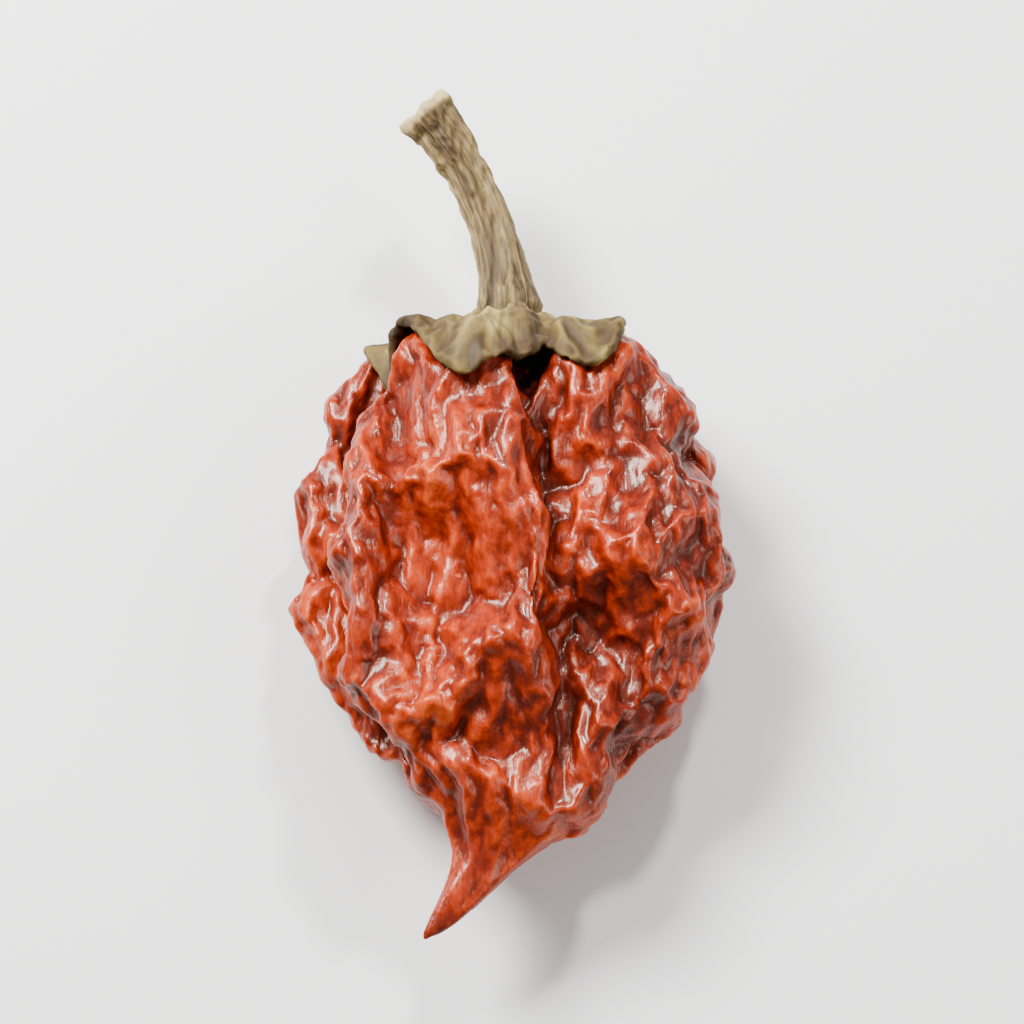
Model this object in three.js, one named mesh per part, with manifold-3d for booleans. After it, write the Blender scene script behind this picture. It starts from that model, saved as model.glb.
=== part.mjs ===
// A whole dried chilli pepper of the squat, lobed, tailed kind, lying on its side as it comes to rest.
// Units are millimetres. +Y runs from the tail to the stem, +Z is up, and z = 0 is the surface it lies on.
import * as THREE from "three";
import { mergeVertices } from "three/addons/utils/BufferGeometryUtils.js";
import Module from "manifold-3d";

const wasm = await Module();
wasm.setup();

// Driving dimensions
const POD_WIDTH = 21.8;
const POD_LENGTH = 24.4;
const POD_THICKNESS = 13.6;
const TAIL_LENGTH = 8.4;
const REST_DEPTH = 0.6; // how much of the underside is pressed flat
const CALYX_DIAMETER = 9.4;
const STEM_DIAMETER = 2.1;
const STEM_LENGTH = 12.5;
const FITTING_GAP = 0.35; // between the calyx and the shoulder it sits on

// Shares of the driving dimensions
const HALF_WIDTH = POD_WIDTH / 2;
const HALF_LENGTH = POD_LENGTH / 2;
const FLATNESS = POD_THICKNESS / POD_WIDTH;
const TAIL_TIP = -HALF_LENGTH - TAIL_LENGTH;
const GROUND_SIZE = 4 * POD_LENGTH; // well past the pepper on every side
const DIMPLE_FLOOR = 0.77 * HALF_LENGTH;
const CALYX_RADIUS = CALYX_DIAMETER / 2;
const STEM_RADIUS = STEM_DIAMETER / 2;
const COLLAR_HEIGHT = 1.2; // from the pod's top to where the stem is free of the cap
const STEM_ROOT = HALF_LENGTH + COLLAR_HEIGHT;

// The pod's lobes are parted by furrows: angles in degrees round the pod from its upper side towards +X,
// drift in degrees from shoulder to tail, depth in millimetres and spread in degrees.
const FURROWS = [
  { angle: 10, drift: 30, depth: 2.5, spread: 13 },
  { angle: 132, drift: -14, depth: 2.0, spread: 14 },
  { angle: 226, drift: 12, depth: 1.9, spread: 14 },
  { angle: 296, drift: -28, depth: 3.2, spread: 14 },
];
const SHOULDER_FURROW = 0.55; // share of a furrow's depth that it keeps where it runs up over the shoulder

// Where the drying skin has sunk between the lobes, on the upper side (1) or the underside (-1).
const HOLLOWS = [
  { x: -3.2, y: -1.5, depth: 2.4, radius: 4, side: 1 },
  { x: 6, y: 4.8, depth: 1.5, radius: 3, side: 1 },
  { x: 5, y: -4.6, depth: 1.7, radius: 2.8, side: 1 },
  { x: -6.2, y: 6.6, depth: 1.4, radius: 2.6, side: 1 },
  { x: 0.2, y: -9.4, depth: 1, radius: 2.2, side: 1 },
  { x: 0.5, y: 1, depth: 0.5, radius: 2.2, side: -1 },
];

// Broad crumples of the skin: waves counted round the pod and millimetres between them along it.
const CRUMPLES = [
  { round: 5, along: 7.3, height: 0.24, phase: 0.4 },
  { round: 8, along: -5.1, height: 0.16, phase: 2.1 },
  { round: 3, along: 3.7, height: 0.12, phase: 4 },
];

// Shares of the pod's half width and half length between which the drying and the shoulder's furrows set in.
const DRIED_FROM = 0.3;
const DRIED_FULLY = 0.85;
const SHOULDER_FROM = 0.25;
const SHOULDER_FULLY = 0.5;
const SHOULDER_HEIGHT = 0.5;

const TAIL_BEND = { start: 0.78 * HALF_LENGTH, radius: 13 };
const STEM_BEND = { start: STEM_ROOT, radius: 15 };
const STEM_ROLL = THREE.MathUtils.degToRad(24); // lifts the bent stem clear of the surface
const CALYX_TEETH = 5;
const CALYX_TOOTH_HEIGHT = 0.16; // share of the calyx radius
const CALYX_FLATNESS = FLATNESS + 0.12;
const CALYX_TOP = HALF_LENGTH + 0.35; // above this height the cap runs into the stalk
const STEM_RIDGES = 5;
const STEM_RIDGE_HEIGHT = 0.09; // share of the stem radius

// Facets
const POD_SECTORS = 54;
const POD_RINGS = 42;
const STEM_SECTORS = 30;
const STEM_RINGS = 36;
const WELD_DISTANCE = 1e-4; // vertices closer than this are one

const { lerp, radToDeg, smoothstep } = THREE.MathUtils;
const LENGTHWAYS = new THREE.Vector3(0, 1, 0);

// A closed surface turned about the Y axis, from an outline of radii and heights given from the top down.
function turned(outline, rings, sectors) {
  const points = new THREE.SplineCurve(outline).getSpacedPoints(rings).reverse();
  points.at(0).x = 0;
  points.at(-1).x = 0;
  return new THREE.LatheGeometry(points, sectors);
}

// Moves every vertex of a geometry with a function of its position.
function reshape(geometry, move) {
  const positions = geometry.getAttribute("position");
  const point = new THREE.Vector3();
  for (let i = 0; i < positions.count; i++) {
    point.fromBufferAttribute(positions, i);
    move(point);
    positions.setXYZ(i, point.x, point.y, point.z);
  }
  return geometry;
}

// Bends what lies past a start height round a circle towards -X, keeping its length.
function bendLeft(point, { start, radius }) {
  const along = point.y - start;
  if (along <= 0) return;
  const angle = along / radius;
  const reach = radius + point.x;
  point.x = reach * Math.cos(angle) - radius;
  point.y = start + reach * Math.sin(angle);
}

// A geometry's closed solid, for joins and cuts.
function solidOf(geometry) {
  const bare = geometry.clone();
  bare.deleteAttribute("normal");
  bare.deleteAttribute("uv");
  const merged = mergeVertices(bare, WELD_DISTANCE);
  return new wasm.Manifold(
    new wasm.Mesh({
      numProp: 3,
      vertProperties: merged.getAttribute("position").array,
      triVerts: new Uint32Array(merged.index.array),
    }),
  );
}

// A solid's faces as a geometry.
function geometryOf(solid) {
  const { vertProperties, triVerts } = solid.getMesh();
  const geometry = new THREE.BufferGeometry();
  geometry.setAttribute("position", new THREE.BufferAttribute(vertProperties, 3));
  geometry.setIndex(new THREE.BufferAttribute(triVerts, 1));
  geometry.computeVertexNormals();
  return geometry;
}

// The shortest way round from one angle to another, in degrees.
function turnBetween(from, to) {
  return THREE.MathUtils.euclideanModulo(to - from + 180, 360) - 180;
}

// How deep the furrows are at an angle round the pod, at a share of the way from shoulder to tail.
function furrowDepth(angle, share) {
  return FURROWS.reduce((sum, furrow) => {
    const off = turnBetween(furrow.angle + furrow.drift * share, angle) / furrow.spread;
    return sum + furrow.depth * Math.exp(-off * off);
  }, 0);
}

// How far the crumples raise the skin at an angle round the pod, in radians, and a height along it.
function crumpleHeight(angle, height) {
  return CRUMPLES.reduce((sum, wave) => {
    const turn = wave.round * angle + (2 * Math.PI * height) / wave.along + wave.phase;
    return sum + wave.height * Math.sin(turn);
  }, 0);
}

// Sinks the hollows into a point of the pod's skin.
function sinkHollows(point) {
  for (const { x, y, depth, radius, side } of HOLLOWS) {
    if (point.z * side <= 0) continue;
    const off = Math.hypot(point.x - x, point.y - y) / radius;
    point.z -= side * depth * Math.exp(-off * off);
  }
}

// The pod: a turned outline, parted into lobes, flattened, sunk and crumpled as it dried, its tail bent.
function podSolid() {
  const outline = [
    [0, DIMPLE_FLOOR],
    [0.2 * HALF_WIDTH, 0.8 * HALF_LENGTH],
    [0.4 * HALF_WIDTH, 0.94 * HALF_LENGTH],
    [0.6 * HALF_WIDTH, 0.98 * HALF_LENGTH],
    [0.84 * HALF_WIDTH, 0.76 * HALF_LENGTH],
    [0.97 * HALF_WIDTH, 0.38 * HALF_LENGTH],
    [HALF_WIDTH, 0],
    [0.93 * HALF_WIDTH, -0.35 * HALF_LENGTH],
    [0.75 * HALF_WIDTH, -0.67 * HALF_LENGTH],
    [0.49 * HALF_WIDTH, -0.92 * HALF_LENGTH],
    [0.28 * HALF_WIDTH, -1.09 * HALF_LENGTH],
    [0.15 * HALF_WIDTH, -HALF_LENGTH - 0.42 * TAIL_LENGTH],
    [0.08 * HALF_WIDTH, -HALF_LENGTH - 0.75 * TAIL_LENGTH],
    [0, TAIL_TIP],
  ].map(([radius, height]) => new THREE.Vector2(radius, height));

  const geometry = reshape(turned(outline, POD_RINGS, POD_SECTORS), (point) => {
    const radius = Math.hypot(point.x, point.z);
    const angle = Math.atan2(point.x, point.z);
    const share = (HALF_LENGTH - point.y) / (HALF_LENGTH - TAIL_TIP);
    const fullness = smoothstep(radius, DRIED_FROM * HALF_WIDTH, DRIED_FULLY * HALF_WIDTH);
    const outward = smoothstep(radius, SHOULDER_FROM * HALF_WIDTH, SHOULDER_FULLY * HALF_WIDTH);
    const shoulder = outward * smoothstep(point.y, SHOULDER_HEIGHT * HALF_LENGTH, HALF_LENGTH);
    const furrow = furrowDepth(radToDeg(angle), share);
    const dried = radius + fullness * (crumpleHeight(angle, point.y) - furrow);
    point.y -= SHOULDER_FURROW * shoulder * furrow;
    point.x = dried * Math.sin(angle);
    point.z = dried * Math.cos(angle) * FLATNESS;
    sinkHollows(point);
    point.y *= -1; // the tail is bent with the same bend as the stem
    bendLeft(point, TAIL_BEND);
    point.y *= -1;
  });

  const ground = new THREE.BoxGeometry(GROUND_SIZE, GROUND_SIZE, POD_THICKNESS);
  ground.translate(0, 0, REST_DEPTH - POD_THICKNESS);
  return solidOf(geometry).subtract(solidOf(ground));
}

// The calyx and the stem, which grow as one piece: a toothed cap on the shoulder and a ridged, bent stalk.
function stemSolid(pod) {
  const stemEnd = STEM_ROOT + STEM_LENGTH;
  const outline = [
    [0, stemEnd],
    [1.1 * STEM_RADIUS, stemEnd - 0.1],
    [1.45 * STEM_RADIUS, stemEnd - 0.7],
    [1.15 * STEM_RADIUS, stemEnd - 0.14 * STEM_LENGTH],
    [STEM_RADIUS, stemEnd - 0.35 * STEM_LENGTH],
    [STEM_RADIUS, stemEnd - 0.7 * STEM_LENGTH],
    [1.3 * STEM_RADIUS, STEM_ROOT + 0.1 * STEM_LENGTH],
    [0.42 * CALYX_RADIUS, STEM_ROOT],
    [0.7 * CALYX_RADIUS, HALF_LENGTH + 0.5],
    [CALYX_RADIUS, HALF_LENGTH + 0.3],
    [1.04 * CALYX_RADIUS, HALF_LENGTH - 0.6],
    [0.5 * CALYX_RADIUS, DIMPLE_FLOOR - 0.4],
    [0, DIMPLE_FLOOR - 0.6],
  ].map(([radius, height]) => new THREE.Vector2(radius, height));

  const geometry = reshape(turned(outline, STEM_RINGS, STEM_SECTORS), (point) => {
    const angle = Math.atan2(point.x, point.z);
    const capShare = 1 - smoothstep(point.y, CALYX_TOP, STEM_ROOT);
    const teeth = CALYX_TOOTH_HEIGHT * capShare * Math.cos(CALYX_TEETH * angle);
    const ridges = STEM_RIDGE_HEIGHT * (1 - capShare) * Math.cos(STEM_RIDGES * angle);
    const swell = 1 + teeth + ridges;
    point.x *= swell;
    point.z *= swell * lerp(1, CALYX_FLATNESS, capShare);
    bendLeft(point, STEM_BEND);
    point.applyAxisAngle(LENGTHWAYS, STEM_ROLL * (1 - capShare));
  });

  return solidOf(geometry).subtract(pod).subtract(pod.translate([0, FITTING_GAP, 0]));
}

// A named sub-part with its own finish.
function piece(name, solid, finish) {
  const mesh = new THREE.Mesh(geometryOf(solid), new THREE.MeshStandardMaterial(finish));
  mesh.name = name;
  return mesh;
}

const pod = podSolid();
const pepper = new THREE.Group();
pepper.add(piece("pod", pod, { color: 0x8e2a1c, roughness: 0.34, metalness: 0 }));
pepper.add(piece("calyx_and_stem", stemSolid(pod), { color: 0x8a7448, roughness: 0.75, metalness: 0 }));

// The origin is under the middle of the whole, on the surface it lies on.
const extent = new THREE.Box3().setFromObject(pepper, true);
const middle = extent.getCenter(new THREE.Vector3());
pepper.children.forEach((part) => part.position.set(-middle.x, -middle.y, -extent.min.z));

export default pepper;
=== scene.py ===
"""A whole dried chilli pepper, lying on its side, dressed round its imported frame.

The pod's wrinkles come from a simulated drying: the flesh draws in under a skin that keeps its size, so the
skin buckles. The calyx is laid over the dried shoulder, and it dries together with the stem.
"""

import logging
import math
from collections.abc import Callable
from dataclasses import dataclass
from enum import Enum

import bpy
import numpy as np
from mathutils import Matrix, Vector, noise
from mathutils.bvhtree import BVHTree


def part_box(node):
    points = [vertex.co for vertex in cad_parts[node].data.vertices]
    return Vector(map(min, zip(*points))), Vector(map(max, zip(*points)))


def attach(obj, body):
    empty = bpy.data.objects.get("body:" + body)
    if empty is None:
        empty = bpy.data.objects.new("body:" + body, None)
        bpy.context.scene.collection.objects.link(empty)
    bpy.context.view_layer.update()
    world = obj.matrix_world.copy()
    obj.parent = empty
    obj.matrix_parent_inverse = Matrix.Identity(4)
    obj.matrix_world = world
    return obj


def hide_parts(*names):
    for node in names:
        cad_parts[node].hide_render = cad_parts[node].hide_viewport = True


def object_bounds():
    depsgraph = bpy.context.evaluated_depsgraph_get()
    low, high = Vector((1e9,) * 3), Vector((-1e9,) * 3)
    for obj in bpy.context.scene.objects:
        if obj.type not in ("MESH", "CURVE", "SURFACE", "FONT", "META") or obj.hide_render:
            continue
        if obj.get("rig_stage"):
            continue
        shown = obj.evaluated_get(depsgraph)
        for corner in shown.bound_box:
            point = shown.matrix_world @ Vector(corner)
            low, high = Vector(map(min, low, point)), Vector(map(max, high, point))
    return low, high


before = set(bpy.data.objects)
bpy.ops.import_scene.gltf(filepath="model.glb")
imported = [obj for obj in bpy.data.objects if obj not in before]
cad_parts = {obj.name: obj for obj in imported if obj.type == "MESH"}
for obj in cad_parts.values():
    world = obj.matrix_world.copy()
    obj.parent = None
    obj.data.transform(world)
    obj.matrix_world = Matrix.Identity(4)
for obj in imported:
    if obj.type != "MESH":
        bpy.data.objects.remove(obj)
CAD_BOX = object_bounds()

MM = 0.001
BODY = "root"
SIMULATION_SCALE = 100.0  # the cloth solver is at home with things metres across
PRESSED = 1.0 * MM  # the height up to which the underside gives where it lies on the surface
LOOSE_CORNERS = 0.001 * MM  # corners of the frame's loose triangles closer than this are one point
SMOOTHING = 0.5  # how far a point goes towards the middle of its neighbours in each round

# The line that the pod and its stem grew along, in the frame
AXIS_X = -0.26 * MM
AXIS_Z = 6.2 * MM

log = logging.getLogger("dried_pepper")

# A place or a colour, a colour with its alpha, and places from 0 to 1 with their colours
Triple = tuple[float, float, float]
Tint = tuple[float, float, float, float]
Stops = tuple[tuple[float, Triple], ...]

# What 0 and 1 stand for, or where something starts and ends
Range = tuple[float, float]

# The sockets of a colour mix, which share their names with those of its other kinds
MIX_FIRST = 6
MIX_SECOND = 7
MIX_RESULT = 2

# How many finer layers the noise of the mottled patches and of the grain has
PATCH_DETAIL = 4.0
GRAIN_DETAIL = 3.0


class Kind(Enum):
    """The modifiers that shape the pieces."""

    REMESH = "REMESH"
    SMOOTH = "SMOOTH"
    THIN_OUT = "DECIMATE"
    SUBDIVIDE = "SUBSURF"
    SOLIDIFY = "SOLIDIFY"
    SHRINKWRAP = "SHRINKWRAP"


def select_only(piece: bpy.types.Object) -> None:
    """Deselects everything else and makes a piece the active object.

    Args:
        piece: the object to select.
    """
    bpy.ops.object.select_all(action="DESELECT")
    piece.select_set(True)
    bpy.context.view_layer.objects.active = piece


def shape(piece: bpy.types.Object, kind: Kind, **settings: object) -> None:
    """Adds a modifier to a piece and applies it.

    Args:
        piece: the object to shape.
        kind: which modifier.
        settings: the modifier's own properties and their values.
    """
    select_only(piece)
    modifier = piece.modifiers.new(kind.name, kind.value)
    for name, value in settings.items():
        setattr(modifier, name, value)
    bpy.ops.object.modifier_apply(modifier=modifier.name)


def subdivide(piece: bpy.types.Object) -> None:
    """Splits every face of a piece in four and rounds the result."""
    shape(piece, Kind.SUBDIVIDE, levels=1, render_levels=1)


def read_points(piece: bpy.types.Object) -> np.ndarray:
    """The places of a piece's vertices.

    Args:
        piece: the object to read.

    Returns:
        One row for each vertex.
    """
    points = np.zeros(len(piece.data.vertices) * 3, np.float32)
    piece.data.vertices.foreach_get("co", points)
    return points.reshape(-1, 3)


def write_points(piece: bpy.types.Object, points: np.ndarray) -> None:
    """Moves a piece's vertices to new places."""
    piece.data.vertices.foreach_set("co", np.ascontiguousarray(points, np.float32).ravel())
    piece.data.update()


def read_normals(piece: bpy.types.Object) -> np.ndarray:
    """The directions that a piece's vertices face.

    Args:
        piece: the object to read.

    Returns:
        One row for each vertex.
    """
    normals = np.zeros(len(piece.data.vertices) * 3, np.float32)
    piece.data.vertices.foreach_get("normal", normals)
    return normals.reshape(-1, 3)


def store(piece: bpy.types.Object, name: str, values: np.ndarray) -> None:
    """Keeps a value for each vertex, for the piece's material to read."""
    attribute = piece.data.attributes.new(name, "FLOAT", "POINT")
    attribute.data.foreach_set("value", values.astype(np.float32))


def store_places(piece: bpy.types.Object, name: str, places: np.ndarray) -> None:
    """Keeps a place for each vertex, for the piece's material to read."""
    attribute = piece.data.attributes.new(name, "FLOAT_VECTOR", "POINT")
    attribute.data.foreach_set("vector", np.ascontiguousarray(places, np.float32).ravel())


def ramp(values: np.ndarray, start: float, end: float) -> np.ndarray:
    """Eases from 0 at start to 1 at end, for every value."""
    share = np.clip((values - start) / (end - start), 0, 1)
    return share * share * (3 - 2 * share)


def ramp_over(values: np.ndarray, size: float, shares: Range) -> np.ndarray:
    """Eases from 0 to 1 between two shares of a size, for every value."""
    return ramp(values, shares[0] * size, shares[1] * size)


def noise_at(points: np.ndarray, pitch: Triple) -> np.ndarray:
    """Smooth noise, about -1 to 1, at every point.

    Args:
        points: the places, one row each.
        pitch: the noise's size along X, Y and Z, in metres.

    Returns:
        One value for each point.
    """
    return np.array([noise.noise(Vector(p)) for p in points / np.array(pitch)], np.float32)


def smooth(piece: bpy.types.Object, rounds: int) -> None:
    """Smooths a piece in a number of rounds."""
    shape(piece, Kind.SMOOTH, factor=SMOOTHING, iterations=rounds)


def stand_clear(piece: bpy.types.Object, other: bpy.types.Object, gap: float) -> None:
    """Moves what is nearer to another piece than a gap, or inside it, out of it by that gap."""
    shape(piece, Kind.SHRINKWRAP, target=other, wrap_mode="OUTSIDE", offset=gap)


def edit_all(piece: bpy.types.Object, operator: Callable, **settings: object) -> None:
    """Runs an operator in edit mode on the whole of a piece.

    Args:
        piece: the object to edit.
        operator: one of the mesh operators.
        settings: the operator's own settings and their values.
    """
    select_only(piece)
    bpy.ops.object.mode_set(mode="EDIT")
    bpy.ops.mesh.select_all(action="SELECT")
    operator(**settings)
    bpy.ops.object.mode_set(mode="OBJECT")


def smoothed(piece: bpy.types.Object, rounds: int) -> np.ndarray:
    """Where a piece's vertices would be if it were smoothed, without changing it.

    Args:
        piece: the object to read.
        rounds: how strongly it is smoothed.

    Returns:
        The places, one row for each vertex.
    """
    modifier = piece.modifiers.new("Smooth", Kind.SMOOTH.value)
    modifier.factor = SMOOTHING
    modifier.iterations = rounds
    finished = piece.evaluated_get(bpy.context.evaluated_depsgraph_get())
    points = np.zeros(len(finished.data.vertices) * 3, np.float32)
    finished.data.vertices.foreach_get("co", points)
    piece.modifiers.remove(modifier)
    return points.reshape(-1, 3)


def sharpen(piece: bpy.types.Object, rounds: int, strength: float) -> None:
    """Draws out a piece's crests and folds.

    Args:
        piece: the object to sharpen.
        rounds: how strongly the shape that it is set off against is smoothed.
        strength: the share by which crests and folds grow.
    """
    points = read_points(piece)
    write_points(piece, points + strength * (points - smoothed(piece, rounds)))


def lie_down(piece: bpy.types.Object) -> None:
    """Presses what would sink into the surface that the pepper lies on up to it, without folding it.

    Args:
        piece: the object to lay down.
    """
    points = read_points(piece)
    heights = points[:, 2]
    lowest = min(float(heights.min()), 0)
    depth = PRESSED - lowest
    pressed = PRESSED * np.clip((heights - lowest) / depth, 0, 1) ** (depth / PRESSED)
    points[:, 2] = np.where(heights < PRESSED, pressed, heights)
    write_points(piece, points)


@dataclass(frozen=True)
class FreshSkin:
    """A new skin of triangles that run in no one direction, closed over where a piece cuts through itself.

    Attributes:
        voxel: the size of the first, fine grid, in metres.
        faces: about how many triangles are left in the end.
        rounds: how strongly the grid is smoothed before it is thinned out.
        settling: how strongly the triangles are smoothed afterwards.
    """

    voxel: float
    faces: int
    rounds: int
    settling: int = 0

    def cover(self, piece: bpy.types.Object) -> None:
        """Gives a piece the new skin in place of its own.

        Args:
            piece: the object to cover.
        """
        shape(piece, Kind.REMESH, mode="VOXEL", voxel_size=self.voxel)
        smooth(piece, self.rounds)
        share = self.faces / (2 * len(piece.data.polygons))
        shape(piece, Kind.THIN_OUT, decimate_type="COLLAPSE", ratio=share, use_collapse_triangulate=True)
        smooth(piece, self.settling)


def relief(piece: bpy.types.Object, rounds: int, height: float) -> np.ndarray:
    """How far each vertex stands out of, or lies in, the smoothed piece.

    Args:
        piece: the object to measure.
        rounds: how strongly the compared shape is smoothed.
        height: the height in metres that counts as fully out.

    Returns:
        0 for the deepest folds, 0.5 for level skin and 1 for the highest crests.
    """
    offsets = read_points(piece) - smoothed(piece, rounds)
    heights = np.einsum("ij,ij->i", offsets, read_normals(piece))
    return np.clip(0.5 + 0.5 * heights / height, 0, 1)


def frame_copy(node: str, name: str) -> bpy.types.Object:
    """A free copy of a frame node, with its loose triangles joined.

    Args:
        node: the frame node.
        name: the copy's name.

    Returns:
        The copy, at the origin.
    """
    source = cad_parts[node]
    piece = source.copy()
    piece.data = source.data.copy()
    piece.parent = None
    piece.name = name
    for key in [key for key in piece.keys() if key.startswith("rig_")]:
        del piece[key]
    bpy.context.collection.objects.link(piece)
    edit_all(piece, bpy.ops.mesh.remove_doubles, threshold=LOOSE_CORNERS)
    piece.data.materials.clear()
    return piece


@dataclass(frozen=True)
class Drying:
    """One stage of drying: the flesh shrinks, and the skin that it carries wrinkles.

    Attributes:
        girth: share by which the skin is too wide for the flesh at the end.
        length: share by which it is too long.
        grip: how firmly the flesh holds the skin; a firm hold makes narrow wrinkles.
        bend: how hard the skin is to bend.
        shrink_frames: steps in which the flesh shrinks.
        settle_frames: steps in which the skin comes to rest afterwards.
        stiffness: how hard the skin is to stretch or squeeze.
        shear: how hard it is to skew.
        mass: the weight of each of its vertices.
        air: how much the air slows it.
        quality: the solver's steps in each frame.
    """

    girth: float
    length: float
    grip: float
    bend: float
    shrink_frames: int = 20
    settle_frames: int = 12
    stiffness: float = 15.0
    shear: float = 7.5
    mass: float = 0.3
    air: float = 1.0
    quality: int = 5

    def run(self, piece: bpy.types.Object, hold: np.ndarray) -> None:
        """Dries a piece.

        Args:
            piece: the object to wrinkle.
            hold: for each vertex, its share of the grip; at 1 it can't leave the flesh.
        """
        middle = np.array([AXIS_X, 0, AXIS_Z], np.float32)
        supple = np.array([1 + self.girth, 1 + self.length, 1 + self.girth], np.float32)
        write_points(piece, (read_points(piece) - middle) * supple * SIMULATION_SCALE)
        flesh = self.shrinking_flesh(piece, supple)
        self.wrinkling_skin(piece, hold)
        for step in range(1, self.shrink_frames + self.settle_frames + 1):
            bpy.context.scene.frame_set(step)
        select_only(piece)
        for modifier in list(piece.modifiers):
            bpy.ops.object.modifier_apply(modifier=modifier.name)
        bpy.data.objects.remove(flesh)
        piece.vertex_groups.clear()
        bpy.context.scene.frame_set(1)
        write_points(piece, read_points(piece) / SIMULATION_SCALE + middle)

    def shrinking_flesh(self, piece: bpy.types.Object, supple: np.ndarray) -> bpy.types.Object:
        """Hooks a piece to an empty that draws it in.

        Args:
            piece: the object to hook.
            supple: how much larger the skin starts, along X, Y and Z.

        Returns:
            The empty.
        """
        flesh = bpy.data.objects.new("flesh", None)
        bpy.context.collection.objects.link(flesh)
        flesh.keyframe_insert("scale", frame=1)
        flesh.scale = (1 / supple).tolist()
        flesh.keyframe_insert("scale", frame=self.shrink_frames)
        hook = piece.modifiers.new("Flesh", "HOOK")
        hook.object = flesh
        hook.falloff_type = "NONE"
        hook.vertex_indices_set(range(len(piece.data.vertices)))
        return flesh

    def wrinkling_skin(self, piece: bpy.types.Object, hold: np.ndarray) -> None:
        """Makes a piece's surface cloth that the flesh holds.

        Args:
            piece: the object whose surface wrinkles.
            hold: for each vertex, its share of the grip.
        """
        group = piece.vertex_groups.new(name="hold")
        for vertex, share in enumerate(hold):
            group.add([vertex], float(share), "REPLACE")
        cloth = piece.modifiers.new("Skin", "CLOTH")
        skin = cloth.settings
        skin.quality = self.quality
        skin.mass = self.mass
        skin.tension_stiffness = self.stiffness
        skin.compression_stiffness = self.stiffness
        skin.shear_stiffness = self.shear
        skin.bending_stiffness = self.bend
        skin.air_damping = self.air
        skin.vertex_group_mass = group.name
        skin.pin_stiffness = self.grip
        skin.effector_weights.gravity = 0
        cloth.collision_settings.use_collision = False
        cloth.point_cache.frame_end = self.shrink_frames + self.settle_frames


class NodeSheet:
    """A material's or a group's nodes, placed and joined in a few words."""

    def __init__(self, tree: bpy.types.NodeTree) -> None:
        """Starts on a node tree."""
        self.tree = tree

    def add(self, kind: str, **inputs: object) -> bpy.types.Node:
        """Adds a node.

        Args:
            kind: the node's type.
            inputs: its input sockets, with _ for a space, each with a value or an output to join.

        Returns:
            The node.
        """
        node = self.tree.nodes.new(kind)
        for name, value in inputs.items():
            self.feed(node, name.replace("_", " "), value)
        return node

    def feed(self, node: bpy.types.Node, socket: str | int, value: object) -> None:
        """Sets an input to a value, or joins an output to it.

        Args:
            node: the node that has the input.
            socket: the input's name or place.
            value: the value, or the output to join.
        """
        if isinstance(value, bpy.types.NodeSocket):
            self.tree.links.new(value, node.inputs[socket])
        else:
            node.inputs[socket].default_value = value

    def attribute(self, name: str, output: str = "Fac") -> bpy.types.NodeSocket:
        """What a piece keeps for each vertex.

        Args:
            name: the name that the piece keeps it under.
            output: Fac for a value, or Vector for a place.

        Returns:
            The output.
        """
        node = self.add("ShaderNodeAttribute")
        node.attribute_name = name
        return node.outputs[output]

    def math(self, operation: str, *values: object) -> bpy.types.NodeSocket:
        """The result of a sum.

        Args:
            operation: what is done with the values.
            values: values or outputs.

        Returns:
            The result's output.
        """
        node = self.add("ShaderNodeMath")
        node.operation = operation
        for place, value in enumerate(values):
            self.feed(node, place, value)
        return node.outputs[0]

    def total(self, first: object, *others: object) -> bpy.types.NodeSocket:
        """Adds up values or outputs.

        Args:
            first: the first of them.
            others: the rest.

        Returns:
            The total's output.
        """
        for other in others:
            first = self.math("ADD", first, other)
        return first

    def spread(self, value: object, low: object, high: object) -> bpy.types.NodeSocket:
        """A value from 0 to 1, spread from low to high."""
        node = self.add("ShaderNodeMapRange", Value=value, To_Min=low, To_Max=high)
        return node.outputs[0]

    def colours(self, value: object, stops: Stops) -> bpy.types.NodeSocket:
        """Colours along a value.

        Args:
            value: the output to colour, from 0 to 1.
            stops: places from 0 to 1, each with its colour.

        Returns:
            The colour output.
        """
        node = self.add("ShaderNodeValToRGB", Fac=value)
        elements = node.color_ramp.elements
        while len(elements) < len(stops):
            elements.new(0.5)  # its own place follows
        for element, (place, colour) in zip(elements, stops):
            element.position = place
            element.color = (*colour, 1)
        return node.outputs["Color"]

    def blend(self, share: object, first: object, second: object) -> bpy.types.NodeSocket:
        """Goes from a first colour to a second one as a share goes from 0 to 1.

        Args:
            share: the second colour's share.
            first: a colour or an output.
            second: another colour or output.

        Returns:
            The colour output.
        """
        node = self.add("ShaderNodeMix")
        node.data_type = "RGBA"
        self.feed(node, "Factor", share)
        self.feed(node, MIX_FIRST, first)
        self.feed(node, MIX_SECOND, second)
        return node.outputs[MIX_RESULT]

    def group(self, tree: bpy.types.NodeTree, **inputs: object) -> bpy.types.Node:
        """Places a node group with its own values.

        Args:
            tree: the group.
            inputs: its input sockets, with _ for a space, each with a value or an output to join.

        Returns:
            The placed group.
        """
        node = self.tree.nodes.new("ShaderNodeGroup")
        node.node_tree = tree
        for name, value in inputs.items():
            self.feed(node, name.replace("_", " "), value)
        return node


def blank_finish(name: str) -> tuple[bpy.types.Material, NodeSheet, bpy.types.Node]:
    """A new material to fill.

    Args:
        name: the material's name.

    Returns:
        The material, its nodes and its shader.
    """
    material = bpy.data.materials.new(name)
    material.use_nodes = True
    return material, NodeSheet(material.node_tree), material.node_tree.nodes["Principled BSDF"]


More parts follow.
